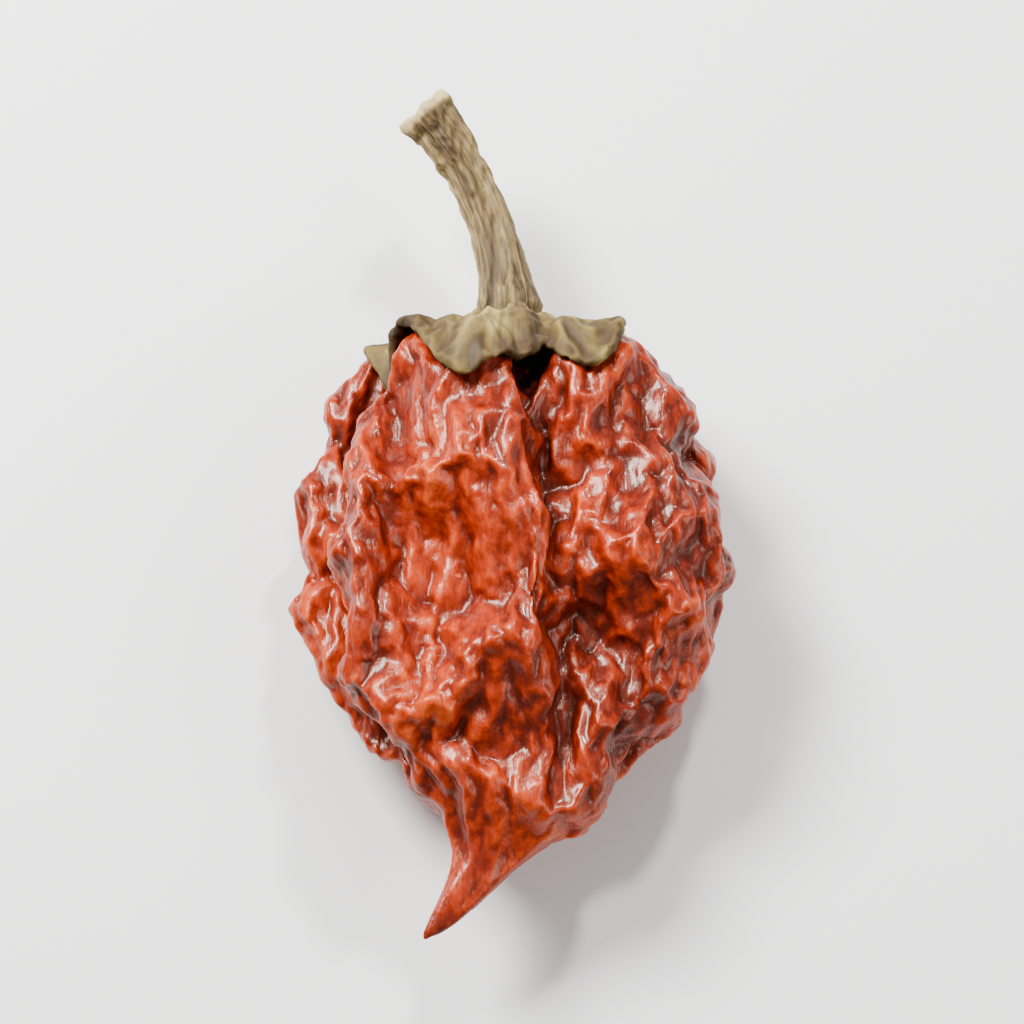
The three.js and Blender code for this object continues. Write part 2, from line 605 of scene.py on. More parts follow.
def mottle_group() -> bpy.types.NodeTree:
    """The uneven colour and fine grain of anything dried, for every finish.

    Returns:
        A group that takes a place, the patches and the grains in a metre, and a stretch along Y.
    """
    tree = bpy.data.node_groups.new("dry mottle", "ShaderNodeTree")
    tree.interface.new_socket("Place", in_out="INPUT", socket_type="NodeSocketVector")
    for name, value in (("Patches per metre", 200.0), ("Grains per metre", 3000.0), ("Stretch", 1.0)):
        socket = tree.interface.new_socket(name, in_out="INPUT", socket_type="NodeSocketFloat")
        socket.default_value = value
    for name in ("Patches", "Grain"):
        tree.interface.new_socket(name, in_out="OUTPUT", socket_type="NodeSocketFloat")
    sheet = NodeSheet(tree)
    given = tree.nodes.new("NodeGroupInput").outputs
    result = tree.nodes.new("NodeGroupOutput")
    squeeze = sheet.add("ShaderNodeCombineXYZ", X=1.0, Z=1.0)
    sheet.feed(squeeze, "Y", sheet.math("DIVIDE", 1.0, given["Stretch"]))
    place = sheet.add("ShaderNodeVectorMath")
    place.operation = "MULTIPLY"
    sheet.feed(place, 0, given["Place"])
    sheet.feed(place, 1, squeeze.outputs[0])
    for name, scale, detail in (
        ("Patches", "Patches per metre", PATCH_DETAIL),
        ("Grain", "Grains per metre", GRAIN_DETAIL),
    ):
        cloud = sheet.add("ShaderNodeTexNoise", Vector=place.outputs[0], Scale=given[scale], Detail=detail)
        sheet.feed(result, name, cloud.outputs["Fac"])
    return tree


@dataclass(frozen=True)
class DriedSkin:
    """Glossy raisin-like skin, maroon to orange-red, with painted shade darkening its folds and painted
    light brightening its crests.
    """

    name: str = "dried_skin"
    # The colours run from the painted shade of the deepest folds to the painted light of the highest
    # crests, shifted by the real patches and grain.
    stops: Stops = (
        (0.0, (0.050, 0.008, 0.005)),
        (0.27, (0.155, 0.017, 0.008)),
        (0.5, (0.36, 0.043, 0.014)),
        (0.75, (0.58, 0.104, 0.030)),
        (1.0, (0.74, 0.25, 0.075)),
    )
    # Painted shade in the wrinkles' folds and painted light on their crests, from the relief.
    relief_shading_tone: Range = (-0.1, 0.62)
    # Painted shade in the broad hollows and painted light on the broad swells.
    broad_relief_shading_tone: Range = (-0.14, 0.36)
    patch_tone: Range = (-0.55, 0.55)
    grain_tone: Range = (-0.3, 0.3)
    patches_per_metre: float = 180.0
    grains_per_metre: float = 2600.0
    stretch: float = 2.4
    roughness: Range = (0.24, 0.5)
    coat: Range = (0.4, 0.0)
    coat_roughness: float = 0.12
    gloss_tint: Tint = (1.0, 0.80, 0.66, 1.0)
    grain_height: float = 0.13 * MM
    grain_strength: float = 0.8
    subsurface: float = 0.18
    subsurface_reach: Triple = (1.0, 0.28, 0.12)
    subsurface_depth: float = 0.6 * MM

    def make(self, mottle: bpy.types.NodeTree) -> bpy.types.Material:
        """Makes the material.

        Args:
            mottle: the shared group of uneven colour and grain.

        Returns:
            The material.
        """
        material, sheet, shader = blank_finish(self.name)
        uneven = sheet.group(
            mottle,
            Place=sheet.add("ShaderNodeTexCoord").outputs["Object"],
            Patches_per_metre=self.patches_per_metre,
            Grains_per_metre=self.grains_per_metre,
            Stretch=self.stretch,
        )
        patches, grain = uneven.outputs["Patches"], uneven.outputs["Grain"]
        # The relief terms paint shade into the folds and light onto the crests; the patches and grain are
        # the skin's own uneven colour.
        tone = sheet.total(
            sheet.spread(sheet.attribute("relief_shading"), *self.relief_shading_tone),
            sheet.spread(sheet.attribute("broad_relief_shading"), *self.broad_relief_shading_tone),
            sheet.spread(patches, *self.patch_tone),
            sheet.spread(grain, *self.grain_tone),
        )
        bump = sheet.add(
            "ShaderNodeBump",
            Height=grain,
            Strength=self.grain_strength,
            Distance=self.grain_height,
        )
        sheet.feed(shader, "Base Color", sheet.colours(tone, self.stops))
        sheet.feed(shader, "Roughness", sheet.spread(grain, *self.roughness))
        sheet.feed(shader, "Normal", bump.outputs[0])
        sheet.feed(shader, "Coat Weight", sheet.spread(patches, *self.coat))
        sheet.feed(shader, "Coat Roughness", self.coat_roughness)
        sheet.feed(shader, "Specular Tint", self.gloss_tint)
        sheet.feed(shader, "Subsurface Weight", self.subsurface)
        sheet.feed(shader, "Subsurface Radius", self.subsurface_reach)
        sheet.feed(shader, "Subsurface Scale", self.subsurface_depth)
        return material


@dataclass(frozen=True)
class DryStem:
    """Dry, matte stalk, straw to olive-brown along its fibres, with a browner calyx and a pale cut end, and
    painted shade in its folds and painted light on its crests.
    """

    name: str = "dry_stem"
    # Both ramps run from the painted shade of the folds to the painted light of the crests, shifted by the
    # real streaks, strands, pith, rim, tips and veins.
    stalk: Stops = (
        (0.0, (0.022, 0.013, 0.006)),
        (0.3, (0.080, 0.050, 0.020)),
        (0.6, (0.21, 0.145, 0.062)),
        (1.0, (0.50, 0.39, 0.20)),
    )
    calyx: Stops = (
        (0.0, (0.020, 0.010, 0.004)),
        (0.35, (0.075, 0.044, 0.013)),
        (0.65, (0.17, 0.120, 0.036)),
        (1.0, (0.36, 0.285, 0.105)),
    )
    # Painted shade in the folds and painted light on the crests, from the relief.
    relief_shading_tone: Range = (0.05, 0.95)
    streak_tone: Range = (-0.7, 0.7)
    strand_tone: Range = (-0.5, 0.5)
    pith_tone: Range = (0.0, -0.1)
    rim_tone: Range = (0.0, 0.6)
    tip_tone: Range = (0.08, -0.22)
    vein_tone: Range = (0.0, 0.3)
    streaks_per_metre: float = 900.0
    strands_per_metre: float = 6000.0
    stretch: float = 13.0
    roughness: Range = (0.5, 0.85)
    fibre_height: float = 0.12 * MM
    fibre_strength: float = 0.8

    def make(self, mottle: bpy.types.NodeTree) -> bpy.types.Material:
        """Makes the material.

        Args:
            mottle: the shared group of uneven colour and grain.

        Returns:
            The material.
        """
        material, sheet, shader = blank_finish(self.name)
        stalk = self.fibres(sheet, mottle, "along_stalk")
        calyx = self.fibres(sheet, mottle, "along_calyx")
        pith = sheet.spread(sheet.attribute("pith"), *self.pith_tone)
        rim = sheet.spread(sheet.attribute("rim"), *self.rim_tone)
        tip = sheet.spread(sheet.attribute("tip"), *self.tip_tone)
        vein = sheet.spread(sheet.attribute("vein"), *self.vein_tone)
        stalk_colour = sheet.colours(sheet.total(self.tone(sheet, stalk), pith, rim), self.stalk)
        calyx_colour = sheet.colours(sheet.total(self.tone(sheet, calyx), tip, vein), self.calyx)
        on_calyx = sheet.attribute("calyx")
        grain = sheet.spread(on_calyx, stalk.outputs["Grain"], calyx.outputs["Grain"])
        bump = sheet.add(
            "ShaderNodeBump",
            Height=grain,
            Strength=self.fibre_strength,
            Distance=self.fibre_height,
        )
        sheet.feed(shader, "Base Color", sheet.blend(on_calyx, stalk_colour, calyx_colour))
        sheet.feed(shader, "Roughness", sheet.spread(grain, *self.roughness))
        sheet.feed(shader, "Normal", bump.outputs[0])
        return material

    def fibres(self, sheet: NodeSheet, mottle: bpy.types.NodeTree, growth: str) -> bpy.types.Node:
        """Streaks and strands that follow the way a part grew.

        Args:
            sheet: the material's nodes.
            mottle: the shared group of uneven colour and grain.
            growth: the name that the piece keeps its grown places under.

        Returns:
            The placed group.
        """
        return sheet.group(
            mottle,
            Place=sheet.attribute(growth, "Vector"),
            Patches_per_metre=self.streaks_per_metre,
            Grains_per_metre=self.strands_per_metre,
            Stretch=self.stretch,
        )

    def tone(self, sheet: NodeSheet, fibres: bpy.types.Node) -> bpy.types.NodeSocket:
        """How light the painted shade and light of the relief, the streaks and the strands make a part.

        Args:
            sheet: the material's nodes.
            fibres: the part's placed streaks and strands.

        Returns:
            The tone's output, dark at 0 and light at 1.
        """
        return sheet.total(
            # painted shade in the folds and painted light on the crests
            sheet.spread(sheet.attribute("relief_shading"), *self.relief_shading_tone),
            sheet.spread(fibres.outputs["Patches"], *self.streak_tone),
            sheet.spread(fibres.outputs["Grain"], *self.strand_tone),
        )


@dataclass(frozen=True)
class Bend:
    """A stretch of the pepper that is bent round a circle towards -X.

    Attributes:
        start: the height on the straight axis at which it starts.
        radius: the circle's radius.
        heading: 1 where it runs up the axis, -1 where it runs down.
        roll: how far the bend is turned about the axis, in radians.
    """

    start: float
    radius: float
    heading: int
    roll: float = 0.0

    def aside(self) -> np.ndarray:
        """The direction away from the circle's middle, where the bend starts."""
        return np.array([math.cos(self.roll), 0, -math.sin(self.roll)])

    def across(self) -> np.ndarray:
        """The direction square to the circle."""
        return np.array([math.sin(self.roll), 0, math.cos(self.roll)])

    def middle(self, along: float) -> np.ndarray:
        """The point on the bent axis at a distance from the bend's start.

        Args:
            along: the distance, below 0 on the straight axis before the bend.

        Returns:
            The point.
        """
        angle = max(along, 0) / self.radius
        rise = self.radius * math.sin(angle) + min(along, 0)
        straight = np.array([AXIS_X, self.start + self.heading * rise, AXIS_Z])
        return straight + self.radius * (math.cos(angle) - 1) * self.aside()

    def way(self, along: float) -> np.ndarray:
        """The bent axis's direction at a distance from the bend's start."""
        angle = along / self.radius
        return math.cos(angle) * np.array([0, self.heading, 0]) - math.sin(angle) * self.aside()

    def straightened(self, points: np.ndarray) -> np.ndarray:
        """Where points would be if the pepper had grown straight.

        Args:
            points: the places, one row each.

        Returns:
            For each, how far it is aside from the axis, along it from the bend's start, and across it.
        """
        offsets = points - np.array([AXIS_X, self.start, AXIS_Z])
        aside = offsets @ self.aside()
        rise = self.heading * offsets[:, 1]
        bent = rise > 0
        return np.column_stack(
            [
                np.where(bent, np.hypot(aside + self.radius, rise) - self.radius, aside),
                np.where(bent, np.arctan2(rise, aside + self.radius) * self.radius, rise),
                offsets @ self.across(),
            ]
        )


@dataclass(frozen=True)
class Crinkle:
    """One size of the skin's crinkles.

    Attributes:
        pitch: the crinkles' size along X, Y and Z on the straight pepper.
        height: how far they stand out.
    """

    pitch: Triple
    height: float

    def lift(self, grown: np.ndarray) -> np.ndarray:
        """How far the crinkles lift the skin at places on the straight pepper."""
        return self.height * (1 - 2 * np.abs(noise_at(grown, self.pitch)))


@dataclass
class Pod:
    """The dried fruit, with its tail.

    The seat is where the calyx sits. Its core is a share of its radius, and it starts at a share of the
    pod's height. The tail is loose and fast at distances from its tip, and thin at one from where it starts
    to bend.
    """

    node: str = "pod"
    name: str = "dried_pod"
    slot: str = "dried_skin"
    tail: Bend = Bend(start=-12.55 * MM, radius=13.0 * MM, heading=-1)
    first_skin: FreshSkin = FreshSkin(voxel=0.24 * MM, faces=7600, rounds=8, settling=2)
    last_skin: FreshSkin = FreshSkin(voxel=0.125 * MM, faces=196000, rounds=1)
    tail_loose: float = 13.0 * MM
    tail_fast: float = 5.0 * MM
    seat_radius: float = 3.6 * MM
    seat_core: float = 0.4
    seat_height: float = 0.5
    loose_hold: float = 0.5
    loose_spread: float = 0.2
    swelling: float = 0.55 * MM
    stages: tuple[Drying, ...] = (
        Drying(girth=0.26, length=0.04, grip=0.22, bend=0.8),
        Drying(girth=0.32, length=0.05, grip=1.6, bend=0.15, shrink_frames=15, settle_frames=10),
    )
    patchiness: Triple = (6.0 * MM, 9.0 * MM, 6.0 * MM)
    sharpness: float = 0.6
    sharpness_rounds: int = 4
    crinkles: tuple[Crinkle, ...] = (
        Crinkle(pitch=(0.6 * MM, 2.0 * MM, 0.6 * MM), height=0.08 * MM),
        Crinkle(pitch=(0.32 * MM, 1.0 * MM, 0.32 * MM), height=0.04 * MM),
    )
    wander_pitch: Triple = (3.0 * MM, 3.0 * MM, 3.0 * MM)
    wander: float = 0.5 * MM
    crest_height: float = 0.22 * MM
    crest_rounds: int = 18
    bulk_height: float = 1.0 * MM
    bulk_rounds: int = 150
    browned_tip: float = 3.0 * MM
    browning: float = 0.7
    tail_thin: float = 3.0 * MM
    tail_core: float = 0.1 * MM
    tail_rounds: int = 14
    tail_slimming: float = 0.15
    furrow_turn: float = 0.55
    furrow_length: float = 5.0 * MM
    furrow_depth: float = 0.22 * MM
    furrow_share: float = 0.16

    def build(self) -> bpy.types.Object:
        """Models the pod.

        Returns:
            The finished piece.
        """
        piece = frame_copy(self.node, self.name)
        self.first_skin.cover(piece)
        shape(piece, Kind.SHRINKWRAP, target=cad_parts[self.node], wrap_method="NEAREST_SURFACEPOINT")
        self.leave_room(piece)
        for stage in self.stages:
            stage.run(piece, self.hold(piece))
            subdivide(piece)
            log.info("%s: dried to %d faces", piece.name, len(piece.data.polygons))
        sharpen(piece, self.sharpness_rounds, self.sharpness)
        self.crinkle(piece)
        self.draw_out_tail(piece)
        self.last_skin.cover(piece)
        lie_down(piece)
        select_only(piece)
        bpy.ops.object.shade_smooth()
        self.keep_relief(piece)
        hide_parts(self.node)
        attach(piece, BODY)
        return piece

    def leave_room(self, piece: bpy.types.Object) -> None:
        """Draws the skin in as far as its wrinkles will stand out, but for the tail and where it rests.

        Args:
            piece: the pod.
        """
        points = read_points(piece)
        normals = read_normals(piece)
        along = self.tail.straightened(points)[:, 1]
        room = self.swelling * ramp(along, self.tail_thin, 0) * ramp(normals[:, 2], -1, 0)
        write_points(piece, points - room[:, None] * normals)

    def hold(self, piece: bpy.types.Object) -> np.ndarray:
        """How firmly the flesh holds the skin: fast at the tail and under the calyx, loosely elsewhere.

        Args:
            piece: the pod.

        Returns:
            The hold at each vertex, from 0 to 1.
        """
        points = read_points(piece)
        low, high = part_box(self.node)
        tail = ramp(points[:, 1], low.y + self.tail_loose, low.y + self.tail_fast)
        from_axis = np.hypot(points[:, 0] - AXIS_X, points[:, 2] - AXIS_Z)
        on_top = points[:, 1] > self.seat_height * high.y
        seat = ramp_over(from_axis, self.seat_radius, (1, self.seat_core)) * on_top
        loose = self.loose_hold + self.loose_spread * noise_at(points, self.patchiness)
        return np.clip(np.maximum.reduce([loose, tail, seat]), 0, 1)

    def crinkle(self, piece: bpy.types.Object) -> None:
        """Gives the skin its finest crinkles: narrow ridges that run lengthwise and wander a little.

        Args:
            piece: the pod.
        """
        points = read_points(piece)
        grown = self.tail.straightened(points)
        grown[:, [0, 2]] += self.wander * noise_at(points, self.wander_pitch)[:, None]
        lift = sum(crinkle.lift(grown) for crinkle in self.crinkles)
        write_points(piece, points + lift[:, None] * read_normals(piece))

    def draw_out_tail(self, piece: bpy.types.Object) -> None:
        """Smooths the thin tail, slims it and furrows it lengthwise.

        Args:
            piece: the pod.
        """
        points = read_points(piece)
        grown = self.tail.straightened(points)
        thin = ramp(grown[:, 1], self.tail_thin, 2 * self.tail_thin)[:, None]
        points = points + thin * (smoothed(piece, self.tail_rounds) - points)
        write_points(piece, points)
        grown = self.tail.straightened(points)
        from_axis = np.maximum(np.hypot(grown[:, 0], grown[:, 2]), self.tail_core)
        around = np.column_stack([grown[:, 0] / from_axis, grown[:, 1], grown[:, 2] / from_axis])
        furrows = np.abs(noise_at(around, (self.furrow_turn, self.furrow_length, self.furrow_turn)))
        depth = np.minimum(self.furrow_depth, self.furrow_share * from_axis)
        sunk = depth * (1 - 2 * furrows) + self.tail_slimming * from_axis
        write_points(piece, points - thin * sunk[:, None] * read_normals(piece))

    def keep_relief(self, piece: bpy.types.Object) -> None:
        """Keeps for the finish how far each point stands proud, in its wrinkle and in the whole, which the
        finish turns into painted shade in the folds and painted light on the crests.

        Args:
            piece: the pod.
        """
        along = self.tail.straightened(read_points(piece))[:, 1]
        tip = ramp(along, along.max() - self.browned_tip, along.max())
        # Painted shade in the folds and painted light on the crests, from the wrinkles' relief; the tail's
        # tip is made browner.
        relief_shading = relief(piece, self.crest_rounds, self.crest_height)
        store(piece, "relief_shading", relief_shading * (1 - self.browning * tip))
        # Painted shade in the broad hollows and painted light on the broad swells.
        store(piece, "broad_relief_shading", relief(piece, self.bulk_rounds, self.bulk_height))


@dataclass(frozen=True)
class Lobe:
    """One pointed lobe of the calyx.

    Attributes:
        turn: where it lies round the stem, in degrees from the top.
        reach: how far it reaches past the calyx's middle.
    """

    turn: float
    reach: float


@dataclass
class CalyxAndStem:
    """The cap over the pod's shoulder and the stalk that grows out of it, as one piece.

    The stalk's profile gives radii at places along it from its root, and the calyx's angles are in degrees.
    A blend gives the shares of a size between which one part goes over into another. The size is the hub's
    sink for the root, its radius for the cap and the veins, its reach for the tips, the pith's radius for
    the pith, and the pith's depth for the hollow and the rim.
    """

    node: str = "calyx_and_stem"
    name: str = "dry_calyx_and_stem"
    slot: str = "dry_stem"
    bend: Bend = Bend(start=10.4 * MM, radius=15.0 * MM, heading=1, roll=math.radians(24))
    profile: tuple[tuple[float, float], ...] = (
        (-3.4 * MM, 0.9 * MM),
        (-3.0 * MM, 1.7 * MM),
        (-2.0 * MM, 2.5 * MM),
        (-1.0 * MM, 2.5 * MM),
        (-0.3 * MM, 2.05 * MM),
        (0.25 * MM, 1.45 * MM),
        (0.8 * MM, 1.55 * MM),
        (2.2 * MM, 1.22 * MM),
        (5.0 * MM, 1.04 * MM),
        (8.5 * MM, 1.04 * MM),
        (11.0 * MM, 1.22 * MM),
        (12.0 * MM, 1.42 * MM),
        (12.4 * MM, 1.32 * MM),
    )
    steps: int = 70
    sides: int = 80
    ridges: int = 5
    ridge_height: float = 0.14
    fine_ridges: int = 13
    fine_ridge_height: float = 0.06
    twist: float = math.radians(50)
    pith_radius: float = 1.05 * MM
    pith_depth: float = 0.42 * MM
    pith_flatness: int = 4
    hollow_blend: Range = (2.0, 0.5)
    rim_blend: Range = (1.5, 0.7)
    pith_blend: Range = (1.0, 0.8)
    heart: float = 2.0 * MM
    hub: float = 4.7 * MM
    hub_sink: float = 0.5 * MM
    hub_radius: float = 2.6 * MM
    hub_slope: float = 0.25
    hub_fall: float = 0.9 / MM
    hub_depth: float = 3.0
    fan_radius: float = 0.6
    fan_core: float = 0.1
    root_blend: Range = (-1.0, 0.6)
    cap_blend: Range = (0.75, 0.95)
    vein_blend: Range = (0.5, 1.0)
    tip_blend: Range = (0.8, 1.7)
    lobes: tuple[Lobe, ...] = (
        Lobe(-20, 4.6 * MM),
        Lobe(44, 4.0 * MM),
        Lobe(118, 3.4 * MM),
        Lobe(196, 2.4 * MM),
        Lobe(272, 3.5 * MM),
    )
    lobe_width: float = 25.0
    lobe_point: float = 1.4
    sheet_turns: int = 120
    sheet_rings: int = 24
    line_turn: int = 110
    line_step: int = 2
    shoulder_rounds: int = 40
    seam: float = 0.01 * MM
    thickness: float = 0.42 * MM
    clearance: float = 0.12 * MM
    curl: float = 0.7 * MM
    curl_onset: int = 5
    bridging: int = 8
    vein_height: float = 0.22 * MM
    vein_width: float = 3.2
    vein_onset: int = 3
    side_vein_turn: float = 12.0
    side_vein_width: float = 2.2
    side_vein_share: float = 0.7
    first_skin: FreshSkin = FreshSkin(voxel=0.15 * MM, faces=15000, rounds=8, settling=2)
    last_skin: FreshSkin = FreshSkin(voxel=0.1 * MM, faces=90000, rounds=1)
    drying: Drying = Drying(girth=0.24, length=0.0, grip=1.6, bend=0.3, shrink_frames=12, settle_frames=8)
    hold: float = 0.5
    crinkles: Crinkle = Crinkle(pitch=(0.3 * MM, 5.0 * MM, 0.3 * MM), height=0.05 * MM)
    crest_height: float = 0.14 * MM
    crest_rounds: int = 14

    def build(self, pod: bpy.types.Object) -> bpy.types.Object:
        """Models the calyx and the stem.

        Args:
            pod: the finished pod, which the calyx lies on.

        Returns:
            The finished piece.
        """
        piece = self.stalk()
        cap = self.cap(pod)
        bpy.ops.object.select_all(action="DESELECT")
        cap.select_set(True)
        piece.select_set(True)
        bpy.context.view_layer.objects.active = piece
        bpy.ops.object.join()
        piece.name = self.name
        self.first_skin.cover(piece)
        self.hollow_end(piece)
        self.drying.run(piece, np.full(len(piece.data.vertices), self.hold))
        stand_clear(piece, pod, self.clearance)
        subdivide(piece)
        self.crinkle(piece)
        self.last_skin.cover(piece)
        stand_clear(piece, pod, self.clearance)
        lie_down(piece)
        select_only(piece)
        bpy.ops.object.shade_smooth()
        self.keep_growth(piece)
        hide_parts(self.node)
        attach(piece, BODY)
        return piece

    def stalk(self) -> bpy.types.Object:
        """Sweeps the stalk's ridged section along its bent middle line, twisting a little.

        Returns:
            The stalk, closed at both ends.
        """
        section = self.section()
        places, radii = zip(*self.profile)
        curve = bpy.data.curves.new("stalk", "CURVE")
        curve.dimensions = "3D"
        curve.bevel_mode = "OBJECT"
        curve.bevel_object = section
        curve.use_fill_caps = True
        spline = curve.splines.new("POLY")
        spline.points.add(self.steps - 1)
        for point, along in zip(spline.points, np.linspace(places[0], places[-1], self.steps)):
            point.co = (*self.bend.middle(along), 1)
            point.radius = float(np.interp(along, places, radii)) / MM
            point.tilt = self.twist * along / places[-1]
        stalk = bpy.data.objects.new("stalk", curve)
        bpy.context.collection.objects.link(stalk)
        select_only(stalk)
        bpy.ops.object.convert(target="MESH")
        bpy.data.objects.remove(section)
        return stalk

    def section(self) -> bpy.types.Object:
        """The stalk's ridged section, a millimetre in radius.

        Returns:
            The section, as a closed curve.
        """
        curve = bpy.data.curves.new("section", "CURVE")
        spline = curve.splines.new("POLY")
        spline.use_cyclic_u = True
        spline.points.add(self.sides - 1)
        for point, angle in zip(spline.points, np.linspace(0, 2 * math.pi, self.sides, endpoint=False)):
            ridge = self.ridge_height * math.cos(self.ridges * angle)
            fine_ridge = self.fine_ridge_height * math.cos(self.fine_ridges * angle)
            radius = MM * (1 + ridge + fine_ridge)
            point.co = (radius * math.cos(angle), radius * math.sin(angle), 0, 1)
        section = bpy.data.objects.new("section", curve)
        bpy.context.collection.objects.link(section)
        return section

    def hollow_end(self, piece: bpy.types.Object) -> None:
        """Sinks the pith at the stalk's cut end.

        Args:
            piece: the calyx and the stalk.
        """
        points = read_points(piece)
        straight = self.bend.straightened(points)
        off = np.hypot(straight[:, 0], straight[:, 2]) / self.pith_radius
        hollow = self.pith_depth * np.clip(1 - off**self.pith_flatness, 0, 1)
        sink = hollow * self.at_end(straight, self.hollow_blend)
        write_points(piece, points - sink[:, None] * self.bend.way(self.profile[-1][0]))

    def at_end(self, straight: np.ndarray, depths: Range) -> np.ndarray:
        """How far places along the straight stalk belong to its cut end, between two depths below it."""
        end = self.profile[-1][0]
        return ramp(straight[:, 1], end - depths[0] * self.pith_depth, end - depths[1] * self.pith_depth)

    def off_lobes(self, turns: np.ndarray) -> np.ndarray:
        """How far angles round the stem lie from each lobe's middle, in degrees, one row for each angle."""
        middles = np.array([lobe.turn for lobe in self.lobes])
        return np.abs((np.asarray(turns)[..., None] - middles + 180) % 360 - 180)

    def reach(self, turn: float) -> float:
        """How far the calyx reaches over the shoulder from its middle.

        Args:
            turn: the angle round it, in degrees.

        Returns:
            The distance along the shoulder.
        """
        reaches = np.array([lobe.reach for lobe in self.lobes])
        nearness = np.exp(-((self.off_lobes(turn) / self.lobe_width) ** self.lobe_point))
        return self.hub + float(reaches @ nearness)

    def dome(self, from_axis: float) -> float:
        """How high the calyx's swollen middle, which spans the dimple, is at a distance from the axis."""
        past = max(from_axis - self.hub_radius, 0)
        return self.bend.start - self.hub_sink - self.hub_slope * from_axis - self.hub_fall * past**2

    def shoulder_line(self, skin: BVHTree, turn: float) -> np.ndarray:
        """Points close together from the calyx's middle over the pod's shoulder.

        Args:
            skin: the pod's skin, smoothed.
            turn: the line's angle round the stem.

        Returns:
            The points, one row each.
        """
        heart = Vector((AXIS_X, self.heart, AXIS_Z))
        side = Vector((math.sin(math.radians(turn)), 0, math.cos(math.radians(turn))))
        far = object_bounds()[1].y
        line = []
        for tilt in np.radians(np.arange(0, self.line_turn, self.line_step)):
            outward = math.cos(tilt) * Vector((0, 1, 0)) + math.sin(tilt) * side
            point, *_ = skin.ray_cast(heart + far * outward, -outward)
            point.y = max(point.y, self.dome((point - heart).dot(side)))
            line.append(point)
        return np.array(line)

    def sheet_column(self, line: np.ndarray, turn: float, shares: np.ndarray) -> np.ndarray:
        """One line of the calyx, from its middle to its edge, lying on the shoulder.

        Args:
            line: points over the shoulder, close together.
            turn: the line's angle round the stem.
            shares: places along it, from 0 in the middle to 1 at the edge.

        Returns:
            The points, one row for each share.
        """
        along = np.concatenate([[0], np.cumsum(np.linalg.norm(np.diff(line, axis=0), axis=1))])
        places = shares * self.reach(turn)
        laid = np.column_stack([np.interp(places, along, line[:, axis]) for axis in range(3)])
        outward = laid - np.array([AXIS_X, self.heart, AXIS_Z])
        outward /= np.linalg.norm(outward, axis=1, keepdims=True)
        off_vein = self.off_lobes(turn).min() / (2 * self.vein_width)
        vein = self.vein_height * math.exp(-(off_vein**2)) * (1 - shares**self.vein_onset)
        lift = self.clearance + self.thickness / 2 + vein + self.curl * shares**self.curl_onset
        return laid + lift[:, None] * outward

    def cap(self, pod: bpy.types.Object) -> bpy.types.Object:
        """Lays a lobed, veined sheet over the pod's shoulder and gives it its thickness.

        Args:
            pod: the finished pod.

        Returns:
            The cap.
        """
        faces = [face.vertices[:] for face in pod.data.polygons]
        skin = BVHTree.FromPolygons(smoothed(pod, self.shoulder_rounds).tolist(), faces)
        bpy.ops.object.select_all(action="DESELECT")
        bpy.ops.mesh.primitive_grid_add(
            x_subdivisions=self.sheet_turns,
            y_subdivisions=self.sheet_rings,
            size=2,
        )
        cap = bpy.context.object
        points = read_points(cap)
        columns, column = np.unique(points[:, 0], return_inverse=True)
        for place, half_turns in enumerate(columns):
            rows = column == place
            turn = 180 * float(half_turns)
            line = self.shoulder_line(skin, turn)
            points[rows] = self.sheet_column(line, turn, 0.5 + 0.5 * points[rows, 1])
        write_points(cap, points)
        edit_all(cap, bpy.ops.mesh.remove_doubles, threshold=self.seam)
        edit_all(cap, bpy.ops.mesh.normals_make_consistent, inside=False)
        smooth(cap, self.bridging)
        stand_clear(cap, pod, self.clearance + self.thickness / 2)
        smooth(cap, self.bridging // 2)
        shape(cap, Kind.SOLIDIFY, thickness=self.thickness, offset=0.0)
        return cap

    def veins(self, points: np.ndarray) -> np.ndarray:
        """How near points are to a vein: one runs down each lobe, with a finer one either side.

        Args:
            points: the places, one row each.

        Returns:
            The nearness of each, from 0 to 1.
        """
        turns = np.degrees(np.arctan2(points[:, 0] - AXIS_X, points[:, 2] - AXIS_Z))
        off = self.off_lobes(turns).min(axis=1)
        middle_vein = np.exp(-((off / self.vein_width) ** 2))
        side_vein = np.exp(-(((off - self.side_vein_turn) / self.side_vein_width) ** 2))
        return np.clip(middle_vein + self.side_vein_share * side_vein, 0, 1)

    def grown(self, points: np.ndarray) -> tuple[np.ndarray, np.ndarray, np.ndarray]:
        """Where points of the calyx and the stalk grew.

        Args:
            points: the places, one row each.

        Returns:
            For each, its place along the straight stalk, its place along the calyx's fanned veins, and how
            far it belongs to the calyx, from 0 to 1.
        """
        straight = self.bend.straightened(points)
        from_axis = np.hypot(straight[:, 0], straight[:, 2])
        off_core = np.maximum(from_axis, self.fan_core * self.hub_radius)
        fanned = straight * (self.fan_radius * self.hub_radius / off_core)[:, None]
        hub_middle = self.bend.middle(-self.hub_depth * self.hub_sink)
        fanned[:, 1] = -np.linalg.norm(points - hub_middle, axis=1)
        below_root = 1 - ramp_over(straight[:, 1], self.hub_sink, self.root_blend)
        spread_out = ramp_over(from_axis, self.hub_radius, self.cap_blend)
        return straight, fanned, np.maximum(below_root, spread_out)

    def crinkle(self, piece: bpy.types.Object) -> None:
        """Gives the stalk fine crinkles along its fibres, and the calyx along its veins.

        Args:
            piece: the calyx and the stalk.
        """
        points = read_points(piece)
        straight, fanned, calyx = self.grown(points)
        lift = (1 - calyx) * self.crinkles.lift(straight) + calyx * self.crinkles.lift(fanned)
        write_points(piece, points + lift[:, None] * read_normals(piece))

